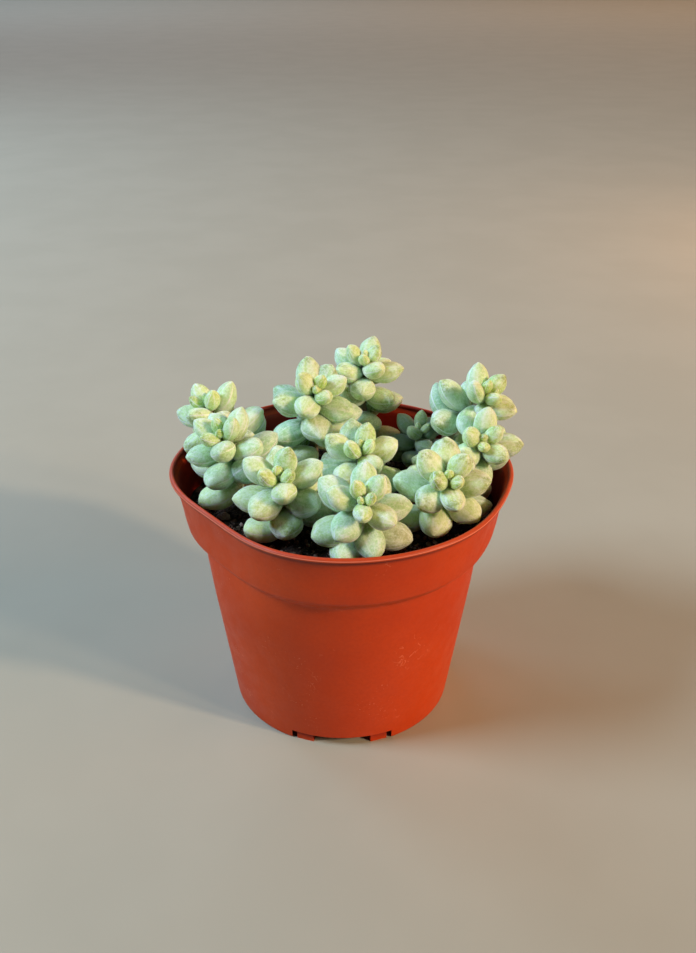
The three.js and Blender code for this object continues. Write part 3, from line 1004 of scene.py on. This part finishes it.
def leaf_surface(leaf, draw, shade):
    """Points, faces and per-point values of one fine leaf."""
    rows = 0.5 - 0.5 * np.cos(np.pi * np.arange(1, LEAF_ROWS) / LEAF_ROWS)
    turn = 2 * np.pi * np.arange(LEAF_COLUMNS) / LEAF_COLUMNS
    u, v = np.meshgrid(rows, turn, indexing="ij")
    x, z = np.cos(v), np.sin(v)
    swell = leaf_outline(u)
    share = np.where(z > 0, UPPER_SHARE, 1 - UPPER_SHARE)
    channel = np.where(z > 0, CHANNEL_DEPTH * np.exp(-((x / CHANNEL_WIDTH) ** 2)) * np.sin(np.pi * u), 0)
    sway = (draw() - 0.5) * LEAF_SWAY
    aside = x * swell * leaf["width"] * 0.5 + sway * leaf["length"] * u * u
    above = (z - channel) * swell * leaf["thickness"] * share
    points = leaf_spine(leaf, u) + leaf["edge"] * aside[..., None] + leaf["upper"] * above[..., None]
    offset = Vector((draw() * LEAF_OFFSET, draw() * LEAF_OFFSET, draw() * LEAF_OFFSET))
    points = uneven(points.reshape(-1, 3), leaf, offset)
    points = np.vstack((leaf_spine(leaf, 0.0), points, leaf_spine(leaf, 1.0)))
    count = len(points)
    values = {
        "along": np.concatenate(((0,), u.ravel(), (1,))),
        "across": np.concatenate(((0,), x.ravel(), (0,))),
        "rim": np.concatenate(((0,), np.abs(x).ravel(), (0,))),
        "age": np.full(count, min(leaf["index"] / OLD_LEAF, 1.0)),
        "tone": np.full(count, draw()),
        "warmth": np.full(count, draw()),
        "patch": np.full(count, draw()),
        "stem": np.zeros(count),
        "shade": np.full(count, shade * min(SHADE_START + SHADE_STEP * leaf["index"], 1.0)),
    }
    return points, ring_faces(LEAF_COLUMNS, LEAF_ROWS - 1), values


def uneven(points, leaf, offset):
    """The points moved away from the leaf's middle or towards it by noise."""
    middle = leaf_spine(leaf, LEAF_MIDDLE)
    size = leaf["width"] / LEAF_WIDTH
    moved = []
    for point in points:
        lumpy = sum(most * noise.noise(Vector(point) * fineness + offset) for fineness, most in LEAF_LAYERS)
        moved.append(point + (point - middle) * LEAF_UNEVENNESS * size * lumpy)
    return moved


def stem_surface(samples):
    """Points, faces and per-point values of a stem, from the bottom of its hole to its tip."""
    bottom = samples[-1] - np.array((0, 0, HOLE_DEPTH - GAP))
    line = np.vstack((bottom, samples[::-1]))
    points, faces = [], []
    for i, centre in enumerate(line):
        across, back = sides_of(unit(line[min(i + 1, len(line) - 1)] - line[max(i - 1, 0)]))
        radius = STEM_RADIUS * (STEM_FIT - STEM_TAPER * (i / len(line)) ** 3)
        for k in range(STEM_SIDES):
            angle = 2 * math.pi * k / STEM_SIDES
            bulge = 1 + STEM_BULGE * noise.noise(Vector(centre) * STEM_FINENESS + Vector((k, 0, 0)))
            points.append(centre + radius * bulge * (across * math.cos(angle) + back * math.sin(angle)))
    for low in range(0, len(points) - STEM_SIDES, STEM_SIDES):
        high = low + STEM_SIDES
        for k in range(STEM_SIDES):
            after = (k + 1) % STEM_SIDES
            faces.append((low + k, low + after, high + after, high + k))
    faces.append(tuple(reversed(range(STEM_SIDES))))
    faces.append(tuple(range(len(points) - STEM_SIDES, len(points))))
    values = {key: np.zeros(len(points)) for key in VALUES}
    values["age"] += 1
    values["stem"] += 1
    return np.array(points), faces, values


def make_shoot(shoot, number, material):
    """One piece of a stem and its fine leaves."""
    draw = seeded(LEAF_SEED + number)
    shade = SHADED.get(shoot["name"], 0)
    parts = [stem_surface(shoot["samples"])]
    parts += [leaf_surface(leaf, draw, shade) for leaf in shoot["leaves"]]
    points, faces = joined([part[:2] for part in parts])
    values = {key: np.concatenate([part[2][key] for part in parts]) for key in VALUES}
    thing = mesh_object(shoot["name"] + "_leaves", points, faces, material, values)
    belongs(thing, "leaf", shoot["name"])


def leaf_material():
    look = Nodes("waxy_leaf", {
        "Roughness": 0.55,
        "Specular IOR Level": 0.3,
        "Subsurface Weight": 0.45,
        "Subsurface Radius": (0.9, 1.0, 0.4),
        "Subsurface Scale": 0.003,
        "Sheen Weight": 0.3,
        "Sheen Roughness": 0.4,
    })
    age, along, rim = look.attribute("age"), look.attribute("along"), look.attribute("rim")
    cloud = look.noise(4.5, 3)
    streak = streaks(look)
    mottle = look.noise(1.1, 4, roughness=0.65, offset=2.2)
    colour = leaf_ground(look, age, along, rim)
    bloom = look.both(look.between(cloud, 0.42, 0.68), look.between(age, 0.05, 0.3))
    colour = look.cover(colour, bloom, 0.45, BLOOM)
    colour = look.mix(look.between(streak, 0.48, 0.66, 0, 0.5), colour, STREAK_WHITE)
    colour = look.mix(look.between(streak, 0.46, 0.3, 0, 0.26), colour, STREAK_GREEN)
    tip = look.both(look.between(along, 0.66, 0.92), look.between(look.attribute("patch"), 0.5, 0.7))
    tip = look.both(tip, look.between(look.noise(2.2, 2, offset=4.4), 0.4, 0.58))
    colour = look.cover(colour, tip, 0.7, TIP_GREEN)
    # A thin pale line along each leaf's edge, painted sheen
    edge = look.both(look.between(rim, 0.985, 0.9995), look.between(along, 0.2, 0.6))
    colour = look.cover(colour, edge, 0.8, EDGE_SHEEN)
    chalk = look.between(look.noise(0.5, 4, roughness=0.7, offset=8.8), 0.44, 0.62)
    colour = look.cover(colour, chalk, 0.4, CHALK)
    colour = look.mix(look.between(mottle, 0.52, 0.66, 0, 0.38), colour, MOTTLE_WHITE)
    colour = look.mix(look.between(mottle, 0.46, 0.34, 0, 0.2), colour, MOTTLE_GREEN)
    speck = look.between(look.noise(0.35, 2, offset=6.1), 0.66, 0.72)
    colour = look.cover(colour, speck, 0.45, SPECK)
    # Painted shade on the shoot that stands in the shade of the others
    colour = look.mix(look.attribute("shade"), colour, LEAF_SHADE)
    bark = look.mix(look.noise(0.8, 4, offset=1.3), BARK_DARK, BARK_PALE)
    colour = look.cover(colour, look.attribute("stem"), 0.9, bark)
    rough = look.between(look.noise(1.8, 3, offset=9.9), 0.3, 0.7, 0.45, 0.65)
    normal = look.bump(look.noise(0.45, 3), 0.35, 0.13)
    normal = look.bump(streak, 0.3, 0.22, normal)
    normal = look.bump(cloud, 0.3, 0.5, normal)
    return look.finish(colour, normal, rough)


def leaf_ground(look, age, along, rim):
    """The colour under the bloom: yellow green at the crown, mint to blue or tan with age, with a
    pale heart on some leaves and a deeper green towards the base of all, partly the leaves' own
    colour and partly painted shade where they crowd at the stem."""
    tone, warmth = look.attribute("tone"), look.attribute("warmth")
    colour = look.mix(look.between(age, 0.06, 0.32), look.mix(tone, *CROWN), look.mix(tone, *MINT))
    blue = look.both(look.between(age, 0.3, 0.85), look.between(tone, 0.9, 0.2))
    colour = look.cover(colour, blue, 0.7, OLD_BLUE)
    heart = look.both(look.between(rim, 0.97, 0.4), look.between(along, 0.25, 0.6))
    heart = look.both(heart, look.between(warmth, 0.15, 0.75))
    heart = look.both(heart, look.between(age, 0.9, 0.25))
    colour = look.cover(colour, heart, 0.6, LEAF_HEART)
    tan = look.both(look.between(warmth, 0.66, 0.92), look.between(age, 0.3, 0.6))
    colour = look.cover(colour, tan, 0.6, OLD_TAN)
    # Deeper green towards each leaf's base: partly its own colour, partly painted shade where the leaves
    # crowd at the stem
    base = look.mix(look.between(age, 0.08, 0.35), YOUNG_BASE_AND_SHADE, OLD_BASE_AND_SHADE)
    return look.cover(colour, look.between(along, 0.56, 0.12), 0.9, base)


def streaks(look):
    """Noise drawn out along each leaf, different on every leaf."""
    place = look.add("ShaderNodeCombineXYZ")
    for axis, value, stretch in (("X", "across", 3.5), ("Y", "along", 1.6), ("Z", "tone", 60.0)):
        look.link(look.math("MULTIPLY", look.attribute(value), stretch), place.inputs[axis])
    lines = look.add("ShaderNodeTexNoise")
    lines.inputs["Scale"].default_value = 1.0
    lines.inputs["Detail"].default_value = 4
    lines.inputs["Roughness"].default_value = 0.6
    look.link(place.outputs["Vector"], lines.inputs["Vector"])
    return lines.outputs["Fac"]


# Studio

def make_camera():
    """The camera, whose focal length and shift give the photograph's frame."""
    data = bpy.data.cameras.new("camera")
    data.sensor_width = SENSOR_WIDTH
    data.lens = SENSOR_WIDTH * FOCAL_PIXELS / PHOTO_HEIGHT_PIXELS
    data.shift_x = AXIS_OFFSET_PIXELS / PHOTO_HEIGHT_PIXELS
    data.clip_start = NEAREST_SEEN
    camera = bpy.data.objects.new("camera", data)
    camera.location = (0, -CAMERA_DEPTH, CAMERA_HEIGHT)
    camera.rotation_euler = (math.radians(90 - CAMERA_PITCH), 0, 0)
    bpy.context.scene.collection.objects.link(camera)
    bpy.context.scene.camera = camera


def make_light(name, location, target, size, power, colour):
    """A round lamp that doesn't show itself."""
    data = bpy.data.lights.new(name, "AREA")
    data.shape = "DISK"
    data.size = size
    data.energy = power
    data.color = colour
    light = bpy.data.objects.new(name, data)
    light.location = location
    light.rotation_euler = (Vector(target) - Vector(location)).to_track_quat("-Z", "Y").to_euler()
    light.visible_camera = False
    bpy.context.scene.collection.objects.link(light)


def polar(azimuth, elevation, distance):
    """A place in metres from the middle of the pot's foot, by two angles in degrees."""
    flat = distance * math.cos(math.radians(elevation))
    return (
        flat * math.cos(math.radians(azimuth)),
        flat * math.sin(math.radians(azimuth)),
        distance * math.sin(math.radians(elevation)),
    )


# Each light: name, place, where it points, width, power in watts and colour. Two lamps and a glow
# light the right side and a window the left. The edges and the back lights are mostly for the floor.
LIGHTS = [
    ("lamp", polar(-27, 29, 3.0), POT_MIDDLE, 0.24, 52, LAMP_COLOUR),
    ("second_lamp", polar(-35, 27, 3.0), POT_MIDDLE, 0.24, 20, LAMP_COLOUR),
    ("warm_glow", polar(-15, 33, 1.8), POT_MIDDLE, 0.95, 8.4, (1.0, 0.41, 0.088)),
    ("window", polar(191, 42, 1.7), POT_MIDDLE, 0.66, 28.5, (0.638, 0.8, 1.0)),
    ("window_edge", (-0.9, 0.7, 0.7), (-0.35, 0.3, 0), 0.45, 4.75, (0.48, 0.724, 1.0)),
    ("lamp_edge", (0.48, 0.42, 0.16), (0.22, 0.42, 0), 0.12, 0.62, (1.0, 0.5, 0.24)),
    ("back_left", (-1.5, 3.4, 2.2), (-1.5, 3.4, 0), 2.2, 58.8, (0.612, 0.748, 1.0)),
    ("back_right", (1.5, 3.4, 2.2), (1.5, 3.4, 0), 2.2, 42, (1.0, 0.59, 0.36)),
]


def floor_material():
    look = Nodes("pale_floor", {"Roughness": 0.75})
    colour = look.mix(look.between(look.noise(60, 3), 0.35, 0.65), FLOOR_DEEP, FLOOR_PALE)
    return look.finish(colour, look.bump(look.noise(0.7, 3), 0.1, 0.1))


def make_studio():
    half = FLOOR_SIZE / 2 / MM
    points = [(-half, -half, 0), (half, -half, 0), (half, half, 0), (-half, half, 0)]
    mesh_object("floor", points, [(0, 1, 2, 3)], floor_material())
    for light in LIGHTS:
        make_light(*light)
    world = bpy.data.worlds.new("studio")
    world.use_nodes = True
    background = world.node_tree.nodes["Background"]
    background.inputs["Color"].default_value = WORLD_COLOUR
    background.inputs["Strength"].default_value = WORLD_STRENGTH
    bpy.context.scene.world = world
    bpy.context.scene.view_settings.view_transform = "Standard"


make_camera()
make_studio()
make_pot(pot_material())
make_soil(soil_material("potting_soil"))
make_crumbs(soil_material("soil_crumb", shaded=True), grit_material())
LEAF_LOOK = leaf_material()
for shoot_number, one_shoot in enumerate(place_leaves()):
    make_shoot(one_shoot, shoot_number, LEAF_LOOK)
